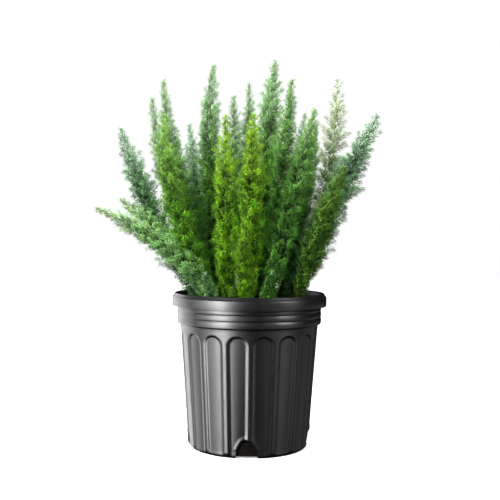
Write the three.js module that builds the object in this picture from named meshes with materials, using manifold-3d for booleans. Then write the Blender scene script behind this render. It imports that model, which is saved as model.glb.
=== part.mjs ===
// Foxtail fern in a ten-inch moulded nursery pot.
//
// Millimetres, +Z up. The origin is the centre of the pot's flat underside, and -Y is the front.
// The plant is a clump of upright plumes. Each plume is one stem clothed all round in short needled
// side shoots, so its solid is a slim three-sided core with every face of it drawn out to a point.
// Plumes never touch: a point stops short where it would come nearer to another plume than its own.

import * as THREE from "three";
import { mergeVertices } from "three/addons/utils/BufferGeometryUtils.js";
import Module from "manifold-3d";

const wasm = await Module();
wasm.setup();

// ---------------------------------------------------------------------------------------------
// Driving dimensions
// ---------------------------------------------------------------------------------------------

const CLEARANCE = 0.3; // between two pieces that touch

const POT = {
  height: 251,
  rimRadius: 127, // outside of the skirt
  skirtBottom: 230.5,
  skirtTop: 245,
  skirtSkin: 2.4,
  skirtCeiling: 242.5, // roof of the hollow behind the skirt
  collarRadius: 117.7, // at the bottom of its grooves
  collarBottom: 201.7,
  collarRise: 1, // how far its bands stand out between the grooves
  collarStep: 1, // height of the ledge that joins the collar to the body
  bands: [208, 216.2, 225.4], // heights of the crests of its bands
  grooves: [212.7, 222.4], // heights of the grooves between them
  bodyTopRadius: 112.9,
  bodyFootRadius: 98.8,
  footRadius: 94.5, // the flat it stands on
  footRound: 4.5,
  floor: 4,
  innerTopRadius: 115, // at the height of the collar
  innerMouthRadius: 118, // just under the lip
  innerBodyRadius: 106.6,
  innerFootRadius: 93.3,
};

// The lip, as heights and distances in from the outside of the skirt, from its groove inwards.
const LIP = [
  { height: 247.3, inset: 2.2 },
  { height: 250.2, inset: 3.8 },
  { height: 251, inset: 4.6 },
  { height: 251, inset: 6.4 },
];

const FLUTE = {
  count: 17,
  half: 8.9, // degrees from its centre line to its edge
  floorHalf: 7.2, // degrees from its centre line to the edge of its floor
  depth: 2.4,
  footShare: 0.4, // share of the depth left at the very foot
  spring: 174.5, // where its arched head begins
  head: 16.5, // height of the head
  headRows: [0, 0.5, 0.85, 0.97], // shares of the head's height at which it is drawn
  turn: -88.7, // bearing of the rib at the front
};

const DRAIN = {
  count: 4,
  width: 34,
  height: 30,
  inner: 82, // how far in from the wall the cut reaches, as a radius
  cutLength: 30,
  cutBelow: 5,
  arcPoints: 8,
  turn: -91.5,
};

const SOIL = {
  level: 221,
  relief: 2.2,
  sides: 32,
  rings: [80, 42],
  wallGap: 0.1, // beyond the clearance, since its sides and the pot's are cut at other angles
};

const STEM = {
  rootDepth: 12, // how deep a stem stands in the soil
  footRadius: 2.6,
  tipRadius: 1.1,
  bareFoot: 26, // bare length above the soil
  lowStep: 16.4, // distance between whorls low on a plume
  tipStep: 7.8, // and at its tip
  stepFade: 110, // distance from the tip over which the step widens
  lowestWhorl: 4, // from the bare foot to the lowest whorl, at the least
};

const SPRAY = {
  tipHalfWidth: 5.5, // half-width of a plume at its very tip
  shoulder: 120, // length over which it widens below the tip
  shoulderShare: 0.75, // and the most of its length that this may be
  skirt: 60, // length over which it narrows again above the bare foot
  skirtShare: 0.6,
  rise: 0.9, // how far a side shoot climbs for each unit that it reaches out
  turnPerWhorl: 77, // degrees; the shoots climb the stem in a spiral
  spread: 0.13, // scatter of a shoot's length and climb
  swing: 9, // degrees of scatter round the stem
  margin: 1.2, // least difference between the distances to its own stem and to the next
  soilGap: 4.4, // least height of a shoot's end above the level of the soil
  rimGap: 2, // and above the pot, where it reaches out over the rim
  reaches: [1, 0.85, 0.7, 0.55, 0.4, 0.28], // shares of its full length that are tried in turn
  leastReach: 0.16, // and its length where none of those is free
  sampleStep: 3, // between the points of a stem that stand for it in that test
};

// Plumes: where the stem leaves the soil, where its tip is, how far the middle of the stem stands
// out from the straight line between them, the half-width, and the green.
const PLUMES = [
  { foot: [-50, -44], tip: [-242, -70, 386], bow: -41, girth: 19, green: "blue" },
  { foot: [-60, -16], tip: [-212, -22, 402], bow: -20, girth: 20, green: "blue" },
  { foot: [-66, 10], tip: [-217, 15, 521], bow: 17, girth: 24, green: "blue" },
  { foot: [-62, 36], tip: [-171, 55, 580], bow: 18, girth: 16, green: "leaf" },
  { foot: [-42, -28], tip: [-137, -60, 533], bow: 26, girth: 19, green: "leaf" },
  { foot: [-50, -4], tip: [-145, 0, 598], bow: 18, girth: 18, green: "leaf" },
  { foot: [-36, 52], tip: [-115, 165, 549], bow: 10, girth: 18, green: "blue" },
  { foot: [-42, 18], tip: [-64, 15, 628], bow: 14, girth: 20, green: "leaf" },
  { foot: [-24, 36], tip: [-84, 95, 546], bow: 6, girth: 22, green: "blue" },
  { foot: [-12, -68], tip: [-8, -126, 362], bow: 2, girth: 15, green: "lime" },
  { foot: [-35, -42], tip: [-40, -92, 528], bow: 6, girth: 20, green: "lime" },
  { foot: [-14, 6], tip: [-30, 20, 578], bow: 0, girth: 19, green: "leaf" },
  { foot: [-4, 42], tip: [-4, 95, 613], bow: 2, girth: 17, green: "leaf" },
  { foot: [-3, -46], tip: [4, -115, 527], bow: -2, girth: 21, green: "lime" },
  { foot: [4, -10], tip: [40, 35, 641], bow: -2, girth: 23, green: "leaf" },
  { foot: [20, 24], tip: [33, 120, 630], bow: 6, girth: 16, green: "leaf" },
  { foot: [28, -26], tip: [65, -25, 597], bow: 2, girth: 20, green: "blue" },
  { foot: [24, -56], tip: [100, -65, 543], bow: 0, girth: 22, green: "blue" },
  { foot: [22, 60], tip: [100, 170, 573], bow: 6, girth: 14, green: "blue" },
  { foot: [46, 6], tip: [103, 40, 516], bow: 8, girth: 18, green: "blue" },
  { foot: [56, 28], tip: [149, 65, 616], bow: 24, girth: 25, green: "lime" },
  { foot: [46, 52], tip: [118, 130, 548], bow: 10, girth: 20, green: "blue" },
  { foot: [68, -44], tip: [142, -102, 450], bow: 0, girth: 21, green: "lime" },
  { foot: [54, -12], tip: [209, 0, 545], bow: 0, girth: 26, green: "blue" },
  { foot: [-20, 66], tip: [-122, 188, 515], bow: 14, girth: 20, green: "blue" },
  { foot: [2, 74], tip: [-18, 216, 500], bow: 14, girth: 18, green: "leaf" },
  { foot: [16, 72], tip: [44, 190, 560], bow: 8, girth: 20, green: "leaf" },
  { foot: [62, 46], tip: [164, 146, 480], bow: 10, girth: 19, green: "blue" },
  { foot: [-44, 56], tip: [-134, 128, 520], bow: 14, girth: 20, green: "leaf" },
];

// Young shoots at the foot of the clump, drawn in the same way.
const SHOOTS = [
  { foot: [-26, -82], tip: [-27, -97, 263], bow: 0, girth: 12, green: "lime" },
  { foot: [-8, -76], tip: [9, -96, 292], bow: 0, girth: 13, green: "lime" },
  { foot: [14, -82], tip: [35, -97, 289], bow: 0, girth: 13, green: "leaf" },
  { foot: [-56, -72], tip: [-68, -94, 286], bow: 0, girth: 14, green: "blue" },
  { foot: [74, 22], tip: [86, 30, 270], bow: 0, girth: 12, green: "leaf" },
  { foot: [30, 92], tip: [42, 101, 284], bow: 0, girth: 13, green: "leaf" },
  { foot: [-44, 84], tip: [-56, 94, 280], bow: 0, girth: 13, green: "lime" },
];
const SHOOT_BARE_FOOT = 8;
const SHOOT_STEP = 9; // between their whorls

const COLOURS = {
  pot: { color: 0x17191b, roughness: 0.42, metalness: 0 },
  soil: { color: 0x2c2119, roughness: 0.95, metalness: 0 },
  blue: { color: 0x3f7048, roughness: 0.6, metalness: 0 },
  leaf: { color: 0x4c8a2e, roughness: 0.6, metalness: 0 },
  lime: { color: 0x86ac2b, roughness: 0.6, metalness: 0 },
};

// ---------------------------------------------------------------------------------------------
// Helpers
// ---------------------------------------------------------------------------------------------

const radians = THREE.MathUtils.degToRad;

function seededRandom(seed) {
  let state = seed;
  return () => {
    state = (state + 0x6d2b79f5) | 0;
    let t = Math.imul(state ^ (state >>> 15), 1 | state);
    t = (t + Math.imul(t ^ (t >>> 7), 61 | t)) ^ t;
    return ((t ^ (t >>> 14)) >>> 0) / 2 ** 32;
  };
}

function geometryFrom(points, faces) {
  const geometry = new THREE.BufferGeometry().setFromPoints(points);
  geometry.setIndex(faces.flat());
  return geometry;
}

// Closed rings of equal length joined in order, with a single point at each end.
function skinRings(first, rings, last) {
  const points = [first, ...rings.flat(), last];
  const count = rings[0].length;
  const at = (ring, i) => 1 + ring * count + (i % count);
  const end = points.length - 1;
  const faces = [];
  for (let i = 0; i < count; i++) {
    faces.push([0, at(0, i + 1), at(0, i)]);
    faces.push([end, at(rings.length - 1, i), at(rings.length - 1, i + 1)]);
    for (let ring = 0; ring < rings.length - 1; ring++) {
      faces.push([at(ring, i), at(ring, i + 1), at(ring + 1, i + 1)]);
      faces.push([at(ring, i), at(ring + 1, i + 1), at(ring + 1, i)]);
    }
  }
  return geometryFrom(points, faces);
}

function toSolid(geometry) {
  const plain = geometry.clone();
  plain.deleteAttribute("normal");
  plain.deleteAttribute("uv");
  const merged = mergeVertices(plain, 1e-4);
  return new wasm.Manifold(
    new wasm.Mesh({
      numProp: 3,
      vertProperties: new Float32Array(merged.attributes.position.array),
      triVerts: new Uint32Array(merged.index.array),
    }),
  );
}

function toGeometry(solid) {
  const mesh = solid.getMesh();
  const geometry = new THREE.BufferGeometry();
  geometry.setAttribute("position", new THREE.BufferAttribute(mesh.vertProperties, 3));
  geometry.setIndex(new THREE.BufferAttribute(mesh.triVerts, 1));
  return geometry;
}

function cutAway(geometry, cutters) {
  let solid = toSolid(geometry);
  for (const cutter of cutters) solid = solid.subtract(toSolid(cutter));
  return toGeometry(solid);
}

function namedMesh(name, geometry, look) {
  geometry.computeVertexNormals();
  const material = new THREE.MeshStandardMaterial({ ...COLOURS[look], flatShading: true });
  const mesh = new THREE.Mesh(geometry, material);
  mesh.name = name;
  return mesh;
}

// ---------------------------------------------------------------------------------------------
// Pot: a fluted, tapering body under a beaded collar and a skirted rim
// ---------------------------------------------------------------------------------------------

// Four points for each flute: its two edges, and the two edges of its floor. The opening is the
// share of a flute's full width at this height. Where it is nought the ring is plain, and its
// points are evenly spaced.
function potRing(height, radius, depth = 0, opening = 0) {
  const pitch = 360 / FLUTE.count;
  const outer = opening ? FLUTE.half * opening : (pitch * 3) / 8;
  const inner = opening ? FLUTE.floorHalf * opening : pitch / 8;
  const ring = [];
  for (let i = 0; i < FLUTE.count; i++) {
    const centre = FLUTE.turn + pitch * (i + 0.5);
    const corners = [
      [-outer, radius],
      [-inner, radius - depth],
      [inner, radius - depth],
      [outer, radius],
    ];
    for (const [offset, r] of corners) {
      const angle = radians(centre + offset);
      ring.push(new THREE.Vector3(r * Math.cos(angle), r * Math.sin(angle), height));
    }
  }
  return ring;
}

const BODY_TOP = POT.collarBottom - POT.collarStep;

function bodyRadius(height) {
  const share = (height - POT.footRound) / (BODY_TOP - POT.footRound);
  return THREE.MathUtils.lerp(POT.bodyFootRadius, POT.bodyTopRadius, share);
}

// Heights and radii of the inside, from under the lip down to the floor.
const INNER_WALL = [
  [POT.height - 3, POT.innerMouthRadius],
  [POT.collarBottom + 5, POT.innerTopRadius],
  [POT.collarBottom - 5, POT.innerBodyRadius],
  [POT.floor, POT.innerFootRadius],
];

// Heights and radii of the collar: bands with grooves between them.
function collar() {
  const crest = POT.collarRadius + POT.collarRise;
  const line = [[POT.collarBottom, POT.collarRadius]];
  POT.bands.forEach((band, i) => {
    line.push([band, crest]);
    if (i < POT.grooves.length) line.push([POT.grooves[i], POT.collarRadius]);
  });
  return line;
}

// Heights and radii of the hollow behind the skirt, the skirt and the lip.
function rim() {
  const { rimRadius, skirtBottom, skirtTop, skirtCeiling, collarRadius } = POT;
  const skin = rimRadius - POT.skirtSkin;
  return [
    [skirtBottom, collarRadius + POT.collarRise / 2],
    [skirtCeiling, collarRadius + POT.collarRise],
    [skirtCeiling, skin],
    [skirtBottom, skin],
    [skirtBottom, rimRadius],
    [skirtTop, rimRadius],
    ...LIP.map(({ height, inset }) => [height, rimRadius - inset]),
  ];
}

function buildPot() {
  const { depth, spring, head } = FLUTE;
  const rings = [
    potRing(0, POT.footRadius, depth * FLUTE.footShare, 1),
    potRing(POT.footRound, POT.bodyFootRadius, depth, 1),
  ];
  // The arched head of a flute narrows like the quarter of an ellipse.
  for (const share of FLUTE.headRows) {
    const height = spring + head * share;
    rings.push(potRing(height, bodyRadius(height), depth, Math.sqrt(1 - share * share)));
  }
  rings.push(potRing(spring + head, bodyRadius(spring + head)));
  rings.push(potRing(BODY_TOP, POT.bodyTopRadius));
  for (const [height, radius] of [...collar(), ...rim(), ...INNER_WALL]) {
    rings.push(potRing(height, radius));
  }
  const underside = new THREE.Vector3(0, 0, 0);
  const floorCentre = new THREE.Vector3(0, 0, POT.floor);
  return cutAway(skinRings(underside, rings, floorCentre), drainCutters());
}

// Arched drain holes that notch the foot of the wall and the edge of the floor.
function drainCutters() {
  const half = DRAIN.width / 2;
  const arch = new THREE.Shape();
  arch.moveTo(-half, -DRAIN.cutBelow);
  arch.lineTo(half, -DRAIN.cutBelow);
  arch.lineTo(half, 0);
  arch.absellipse(0, 0, half, DRAIN.height, 0, Math.PI, false, 0);
  arch.closePath();
  const cutters = [];
  for (let i = 0; i < DRAIN.count; i++) {
    const cutter = new THREE.ExtrudeGeometry(arch, {
      depth: DRAIN.cutLength,
      curveSegments: DRAIN.arcPoints,
      bevelEnabled: false,
    });
    cutter.rotateX(Math.PI / 2); // the outline now stands up, and its depth runs along -Y
    cutter.translate(0, -DRAIN.inner, 0);
    cutter.rotateZ(radians(DRAIN.turn + 90 + (360 / DRAIN.count) * i));
    cutters.push(cutter);
  }
  return cutters;
}

// ---------------------------------------------------------------------------------------------
// Soil: a plug that fills the pot to just under the rim, with a plain hole for each stem
// ---------------------------------------------------------------------------------------------

function soilHeight(x, y) {
  const waves = Math.sin(x / 17 + 0.6) * Math.cos(y / 21) + 0.6 * Math.sin((x - y) / 11 + 1.9);
  return SOIL.level + SOIL.relief * waves;
}

function innerRadius(height) {
  for (let i = 0; i < INNER_WALL.length - 1; i++) {
    const [topHeight, topRadius] = INNER_WALL[i];
    const [lowHeight, lowRadius] = INNER_WALL[i + 1];
    if (height >= lowHeight) {
      const share = (height - lowHeight) / (topHeight - lowHeight);
      return THREE.MathUtils.lerp(lowRadius, topRadius, share);
    }
  }
  return POT.innerFootRadius;
}

function soilRing(radius, height) {
  const ring = [];
  for (let i = 0; i < SOIL.sides; i++) {
    const angle = radians(FLUTE.turn + (360 / SOIL.sides) * (i + 0.25));
    const x = radius * Math.cos(angle);
    const y = radius * Math.sin(angle);
    ring.push(new THREE.Vector3(x, y, height ?? soilHeight(x, y)));
  }
  return ring;
}

function buildSoil(stems) {
  const floor = POT.floor + CLEARANCE;
  const [, [shoulderTop], [shoulderFoot]] = INNER_WALL;
  const rings = [];
  for (const height of [floor, shoulderFoot, shoulderTop, SOIL.level - 1]) {
    rings.push(soilRing(innerRadius(height) - CLEARANCE - SOIL.wallGap, height));
  }
  for (const radius of SOIL.rings) rings.push(soilRing(radius));
  const bottom = new THREE.Vector3(0, 0, floor);
  const top = new THREE.Vector3(0, 0, soilHeight(0, 0));
  return cutAway(skinRings(bottom, rings, top), stems.map(holeCutter));
}

// A stem's hole has the three-sided section of its bare foot, with the clearance all round.
function holeCutter(stem) {
  const ends = [-STEM.rootDepth - CLEARANCE, stem.bareFoot];
  const rings = ends.map((along) => {
    const radius = stem.radiusAt(along) + 2 * CLEARANCE;
    return stem.ringAt(along, radius, stem.firstTurn);
  });
  return skinRings(stem.pointAt(ends[0]), rings, stem.pointAt(ends[1]));
}

// ---------------------------------------------------------------------------------------------
// Plumes
// ---------------------------------------------------------------------------------------------

// A stem runs straight down into the soil below its foot, and above it along a curve in one
// upright plane. Distances along it are measured from the soil. It is bare over its foot.
class Stem {
  constructor({ foot, tip, bow, girth, green }, index, bareFoot) {
    const start = new THREE.Vector3(foot[0], foot[1], SOIL.level);
    const end = new THREE.Vector3(...tip);
    const lean = new THREE.Vector3(end.x - start.x, end.y - start.y, 0).normalize();
    const middle = start.clone().lerp(end, 0.5).addScaledVector(lean, 2 * bow);
    this.curve = new THREE.QuadraticBezierCurve3(start, middle, end);
    this.length = this.curve.getLength();
    this.side = new THREE.Vector3(-lean.y, lean.x, 0);
    this.girth = girth;
    this.green = green;
    this.bareFoot = bareFoot;
    this.firstTurn = 47 * index;
    this.random = seededRandom(1000 + index);
  }

  pointAt(along) {
    if (along >= 0) return this.curve.getPointAt(Math.min(along / this.length, 1));
    return this.curve.getPointAt(0).addScaledVector(this.curve.getTangentAt(0), along);
  }

  directionAt(along) {
    return this.curve.getTangentAt(THREE.MathUtils.clamp(along / this.length, 0, 1));
  }

  radiusAt(along) {
    const share = THREE.MathUtils.clamp(along / this.length, 0, 1);
    return THREE.MathUtils.lerp(STEM.footRadius, STEM.tipRadius, share);
  }

  outward(along, turn) {
    const across = new THREE.Vector3().crossVectors(this.directionAt(along), this.side);
    const angle = radians(turn);
    return across.multiplyScalar(Math.sin(angle)).addScaledVector(this.side, Math.cos(angle));
  }

  ringAt(along, radius, turn) {
    const centre = this.pointAt(along);
    return [0, 120, 240].map((corner) =>
      centre.clone().addScaledVector(this.outward(along, turn + corner), radius),
    );
  }

  // Half-width of the plume: blunt at the tip, then full girth, then a little less at the foot.
  halfWidthAt(along) {
    const shoulder = Math.min(SPRAY.shoulder, SPRAY.shoulderShare * this.length);
    const young = THREE.MathUtils.clamp(1 - (this.length - along) / shoulder, 0, 1);
    const width = THREE.MathUtils.lerp(this.girth, SPRAY.tipHalfWidth, young * young);
    const low = THREE.MathUtils.smoothstep((along - this.bareFoot) / SPRAY.skirt, 0, 1);
    return width * THREE.MathUtils.lerp(SPRAY.skirtShare, 1, low);
  }
}

// Where the whorls sit: close together at the tip, wider apart below, or all one step apart.
function whorlPlaces(stem, evenStep) {
  const places = [];
  let fromTip = STEM.tipStep;
  while (stem.length - fromTip > stem.bareFoot + STEM.lowestWhorl) {
    places.unshift(stem.length - fromTip);
    const share = Math.min(fromTip / STEM.stepFade, 1);
    fromTip += evenStep || THREE.MathUtils.lerp(STEM.tipStep, STEM.lowStep, share);
  }
  return [-STEM.rootDepth, stem.bareFoot, ...places];
}

// Points along every stem, against which a side shoot's reach is tested.
function stemSamples(stems) {
  return stems.map((stem) => {
    const samples = [];
    for (let along = 0; along <= stem.length; along += SPRAY.sampleStep) {
      samples.push(stem.pointAt(along));
    }
    return samples;
  });
}

function nearest(point, samples) {
  let best = Infinity;
  for (const sample of samples) best = Math.min(best, sample.distanceToSquared(point));
  return Math.sqrt(best);
}

function isFree(point, index, samples) {
  const across = Math.hypot(point.x, point.y);
  if (point.z < SOIL.level + SPRAY.soilGap) return false;
  if (point.z < POT.height + SPRAY.rimGap && across > POT.innerTopRadius - SPRAY.rimGap) {
    return false;
  }
  const own = nearest(point, samples[index]);
  return samples.every((other, i) => i === index || nearest(point, other) > own + SPRAY.margin);
}

// The point that a face of the core is drawn out to.
function shootTip(stem, index, samples, corners, along, halfWidth) {
  const foot = new THREE.Vector3();
  for (const corner of corners) foot.addScaledVector(corner, 1 / 3);
  const axis = stem.pointAt(along);
  const direction = stem.directionAt(along);
  const outward = foot.clone().sub(axis);
  outward.addScaledVector(direction, -outward.dot(direction)).normalize();
  outward.applyAxisAngle(direction, radians(SPRAY.swing * (2 * stem.random() - 1)));
  const reach = halfWidth * (1 + SPRAY.spread * (2 * stem.random() - 1));
  const climb = SPRAY.rise * halfWidth * (1 + SPRAY.spread * (2 * stem.random() - 1));
  const full = axis.addScaledVector(outward, reach).addScaledVector(direction, climb);
  for (const share of SPRAY.reaches) {
    const tip = foot.clone().lerp(full, share);
    const half = foot.clone().lerp(tip, 0.5);
    if (isFree(tip, index, samples) && isFree(half, index, samples)) return tip;
  }
  return foot.lerp(full, SPRAY.leastReach);
}

function buildPlume(stem, index, samples, evenStep) {
  const places = whorlPlaces(stem, evenStep);
  const points = [];
  const faces = [];
  const rings = places.map((along, k) => {
    const turn = stem.firstTurn + SPRAY.turnPerWhorl * Math.max(k - 1, 0);
    const ring = stem.ringAt(along, stem.radiusAt(along), turn);
    points.push(...ring);
    return [0, 1, 2].map((corner) => 3 * k + corner);
  });
  const apex = points.push(stem.pointAt(stem.length)) - 1;

  const drawOut = (corners, along) => {
    const halfWidth = stem.halfWidthAt(along);
    const face = corners.map((corner) => points[corner]);
    const tip = points.push(shootTip(stem, index, samples, face, along, halfWidth)) - 1;
    const [a, b, c] = corners;
    faces.push([a, b, tip], [b, c, tip], [c, a, tip]);
  };

  faces.push([rings[0][2], rings[0][1], rings[0][0]]);
  for (let k = 0; k < rings.length - 1; k++) {
    const [low, high] = [rings[k], rings[k + 1]];
    for (let i = 0; i < 3; i++) {
      const next = (i + 1) % 3;
      if (k === 0) {
        faces.push([low[i], low[next], high[next]], [low[i], high[next], high[i]]);
        continue;
      }
      const span = places[k + 1] - places[k];
      drawOut([low[i], low[next], high[i]], places[k] + span / 3);
      drawOut([low[next], high[next], high[i]], places[k] + (2 * span) / 3);
    }
  }
  const top = rings[rings.length - 1];
  for (let i = 0; i < 3; i++) faces.push([top[i], top[(i + 1) % 3], apex]);
  return geometryFrom(points, faces);
}

// ---------------------------------------------------------------------------------------------
// Assembly
// ---------------------------------------------------------------------------------------------

const fern = new THREE.Group();
fern.name = "foxtail_fern_in_pot";

const plumeStems = PLUMES.map((plume, i) => new Stem(plume, i, STEM.bareFoot));
const shootStems = SHOOTS.map((shoot, i) => new Stem(shoot, PLUMES.length + i, SHOOT_BARE_FOOT));
const stems = [...plumeStems, ...shootStems];
const samples = stemSamples(stems);
const twoDigits = (number) => String(number).padStart(2, "0");

fern.add(namedMesh("pot", buildPot(), "pot"));
fern.add(namedMesh("soil", buildSoil(stems), "soil"));

plumeStems.forEach((stem, i) => {
  const geometry = buildPlume(stem, i, samples);
  fern.add(namedMesh(`plume_${twoDigits(i + 1)}`, geometry, stem.green));
});

shootStems.forEach((stem, i) => {
  const index = plumeStems.length + i;
  const geometry = buildPlume(stem, index, samples, SHOOT_STEP);
  fern.add(namedMesh(`shoot_${twoDigits(i + 1)}`, geometry, stem.green));
});

export default fern;
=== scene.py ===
# %% [markdown]
# # A foxtail fern in its nursery pot
# The plant is a clump of upright plumes. Each plume is one stem, clothed all the way round in short
# side shoots, and each side shoot carries rings of flat green needles. It stands in a black moulded
# pot filled with potting mix.
#
# The frame holds the same plant as plain solids, at their true size and place. It is loaded first
# and never moved. The fine pieces made here stand where its nodes stand, and take their place.

# %% Load the frame
import math

import bmesh
import bpy
import numpy as np
from mathutils import Matrix, Vector


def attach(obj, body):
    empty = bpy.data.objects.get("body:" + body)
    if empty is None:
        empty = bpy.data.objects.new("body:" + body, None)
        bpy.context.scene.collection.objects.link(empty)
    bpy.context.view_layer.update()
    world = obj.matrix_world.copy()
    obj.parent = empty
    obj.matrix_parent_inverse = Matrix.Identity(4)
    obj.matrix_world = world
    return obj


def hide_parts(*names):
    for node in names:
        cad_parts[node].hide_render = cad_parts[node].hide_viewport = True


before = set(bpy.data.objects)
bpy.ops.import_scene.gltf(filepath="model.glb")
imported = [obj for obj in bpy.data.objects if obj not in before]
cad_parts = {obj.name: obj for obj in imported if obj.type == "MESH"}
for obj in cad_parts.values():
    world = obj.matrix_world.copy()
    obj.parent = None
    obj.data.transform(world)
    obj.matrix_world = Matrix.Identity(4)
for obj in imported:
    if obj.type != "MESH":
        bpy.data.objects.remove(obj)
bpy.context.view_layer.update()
bpy.ops.object.select_all(action="DESELECT")

MM = 0.001  # the frame is in metres, and the sizes below are written in millimetres

# %% [markdown]
# ## Camera
# A camera is placed by where its lens is and where it points. It could be aimed with a tracking
# constraint, but two turns say the same with nothing left live in the scene: one tips it down
# from the horizon, and one rolls it about its own line of sight.

# %% Place the camera
CAMERA_PLACE = Vector((0.0, -1.350, 0.343))
CAMERA_PITCH = math.radians(0.93)  # downwards
CAMERA_ROLL = math.radians(0.55)
CAMERA_LENS = 58.75  # millimetres, for a sensor 36 mm wide

bpy.ops.object.camera_add(location=CAMERA_PLACE)
camera = bpy.context.active_object
tip_down = Matrix.Rotation(math.pi / 2 - CAMERA_PITCH, 4, "X")
roll_over = Matrix.Rotation(CAMERA_ROLL, 4, "Z")
camera.matrix_world = Matrix.Translation(CAMERA_PLACE) @ tip_down @ roll_over
camera.data.sensor_width = 36
camera.data.lens = CAMERA_LENS
bpy.context.scene.camera = camera
print("the camera stands", round(CAMERA_PLACE.length, 3), "m from the middle of the pot's foot")

# %% [markdown]
# ## Node trees
# Materials and the sky are all built from nodes, so a few small helpers are shared by them. They
# add a node and fill in its sockets, add the kinds that come up most, and join sockets. Writing
# each node out in full would work too, but would hide what each one is for.


# %% Helpers for node trees
def add_node(tree, kind, sockets=None, **settings):
    """A new node, with its settings and the values of its input sockets."""
    node = tree.nodes.new("ShaderNode" + kind)
    for name, value in settings.items():
        setattr(node, name, value)
    for name, value in (sockets or {}).items():
        node.inputs[name].default_value = value
    return node


def add_range(tree, low, high, to_low=0.0, to_high=1.0):
    """A node that turns one range of values into another, and holds still beyond its ends."""
    ends = {"From Min": low, "From Max": high, "To Min": to_low, "To Max": to_high}
    return add_node(tree, "MapRange", ends)


def add_product(tree, times=1.0):
    """A node that multiplies two values, of which the second may be given here."""
    return add_node(tree, "Math", {1: times}, operation="MULTIPLY")


def add_mix(tree, **colours):
    """A node that mixes colour A with colour B."""
    return add_node(tree, "Mix", colours, data_type="RGBA")


def join(tree, *wires):
    """Joins sockets. A wire is a node and its output, and then a node and its input."""
    for source, output, target, entry in wires:
        tree.links.new(source.outputs[output], target.inputs[entry])


# %% [markdown]
# ## Studio
# The plant stands on a pale floor before a white sweep. Soft light comes from all round, most of
# it from behind and above, so that the needles are bright and the gaps between plumes stay dark.
# The sky gives that light: a plain environment whose strength grows from front to back. What the
# camera sees of it directly is plain white.

# %% Sky
SKY_FRONT, SKY_BACK = 0.5, 1.9  # strength towards the viewer, and behind the plant
SKY_SIDE = 0.7  # how far forward and back those are reached, as a sine
SKY_BELOW = 0.12  # share of it that comes up from under the horizon
SKY_RISE = (-0.1, 0.6)  # between these heights, as sines, it comes to full strength
SKY_MIRRORED = 0.012  # share of it that gloss picks up
SKY_SEEN = 1.0
WHITE = (1.0, 1.0, 1.0, 1.0)

bpy.context.scene.view_settings.view_transform = "Standard"
sky = bpy.data.worlds.new("studio sky")
sky.use_nodes = True
sky.node_tree.nodes.clear()
bpy.context.scene.world = sky
tree = sky.node_tree
direction = add_node(tree, "TexCoord")
parts = add_node(tree, "SeparateXYZ")
front_to_back = add_range(tree, -SKY_SIDE, SKY_SIDE, SKY_FRONT, SKY_BACK)
above_ground = add_range(tree, *SKY_RISE, SKY_BELOW, 1.0)
lit = add_product(tree)
mirrored = add_product(tree, SKY_MIRRORED)
strength = add_node(tree, "Mix", data_type="FLOAT")
light_sky = add_node(tree, "Background", {"Color": WHITE})
seen_sky = add_node(tree, "Background", {"Color": WHITE, "Strength": SKY_SEEN})
ray = add_node(tree, "LightPath")
choose = add_node(tree, "MixShader")
output = add_node(tree, "OutputWorld")
join(
    tree,
    (direction, "Generated", parts, 0),
    (parts, "Y", front_to_back, "Value"),
    (parts, "Z", above_ground, "Value"),
    (front_to_back, 0, lit, 0),
    (above_ground, 0, lit, 1),
    (lit, 0, mirrored, 0),
    (ray, "Is Glossy Ray", strength, "Factor"),
    (lit, 0, strength, "A"),
    (mirrored, 0, strength, "B"),
    (strength, 0, light_sky, "Strength"),
    (ray, "Is Camera Ray", choose, "Fac"),
    (light_sky, 0, choose, 1),
    (seen_sky, 0, choose, 2),
    (choose, 0, output, "Surface"),
)
print("sky strength runs from", SKY_FRONT, "to", SKY_BACK)

# %% [markdown]
# Two kinds of lamp are used. Soft boxes light the leaves. Strips and cards are there only to be
# seen mirrored in the glossy pot, as the bright upright bands and the faint sheen that give black
# plastic its shape, so they are hidden from everything but reflections. Each is placed by its
# bearing, so that moving one round the plant is a change of one number.

# %% Lamps
# name, bearing from the front (positive to the right), distance, height, size and power
SOFT_BOXES = [
    ("front left box", -50, 1.6, 1.2, (0.8, 0.8), 62),
    ("front right box", 45, 1.8, 1.1, (0.8, 0.8), 14),
    ("overhead box", 0, 0.1, 1.9, (1.2, 1.2), 30),
]
MIRRORED_LAMPS = [
    ("left upper strip", -44, 1.5, 0.65, (0.62, 1.30), 82),
    ("left lower strip", -44, 1.5, -0.35, (0.62, 0.70), 28),
    ("front card", 4, 1.5, -0.15, (1.4, 1.0), 0.5),
    ("left card", -71, 1.5, 0.10, (0.60, 1.60), 13),
    ("left back card", -126, 1.5, 0.10, (1.50, 1.60), 27),
    ("right upper strip", 57, 1.5, 1.02, (0.40, 1.15), 28),
    ("right lower strip", 61, 1.5, -0.20, (0.36, 0.80), 1.2),
    ("right card", 47, 1.6, -0.35, (1.30, 0.70), 2.2),
    ("right back card", 106, 1.6, -0.35, (2.20, 0.70), 1.6),
]
PLANT_MIDDLE = 0.3  # the height that the soft boxes point at


def add_lamp(name, bearing, distance, height, size, power, mirrored_only):
    """A rectangular lamp, aimed at the plant."""
    angle = math.radians(bearing)
    place = Vector((math.sin(angle) * distance, -math.cos(angle) * distance, height))
    bpy.ops.object.light_add(type="AREA", location=place)
    lamp = bpy.context.active_object
    lamp.name = name
    target = Vector((0.0, 0.0, height if mirrored_only else PLANT_MIDDLE))
    lamp.rotation_euler = (target - place).to_track_quat("-Z", "Y").to_euler()
    lamp.data.shape = "RECTANGLE"
    lamp.data.size, lamp.data.size_y = size
    lamp.data.energy = power
    lamp.visible_camera = False
    lamp.visible_glossy = mirrored_only
    lamp.visible_diffuse = not mirrored_only


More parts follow.
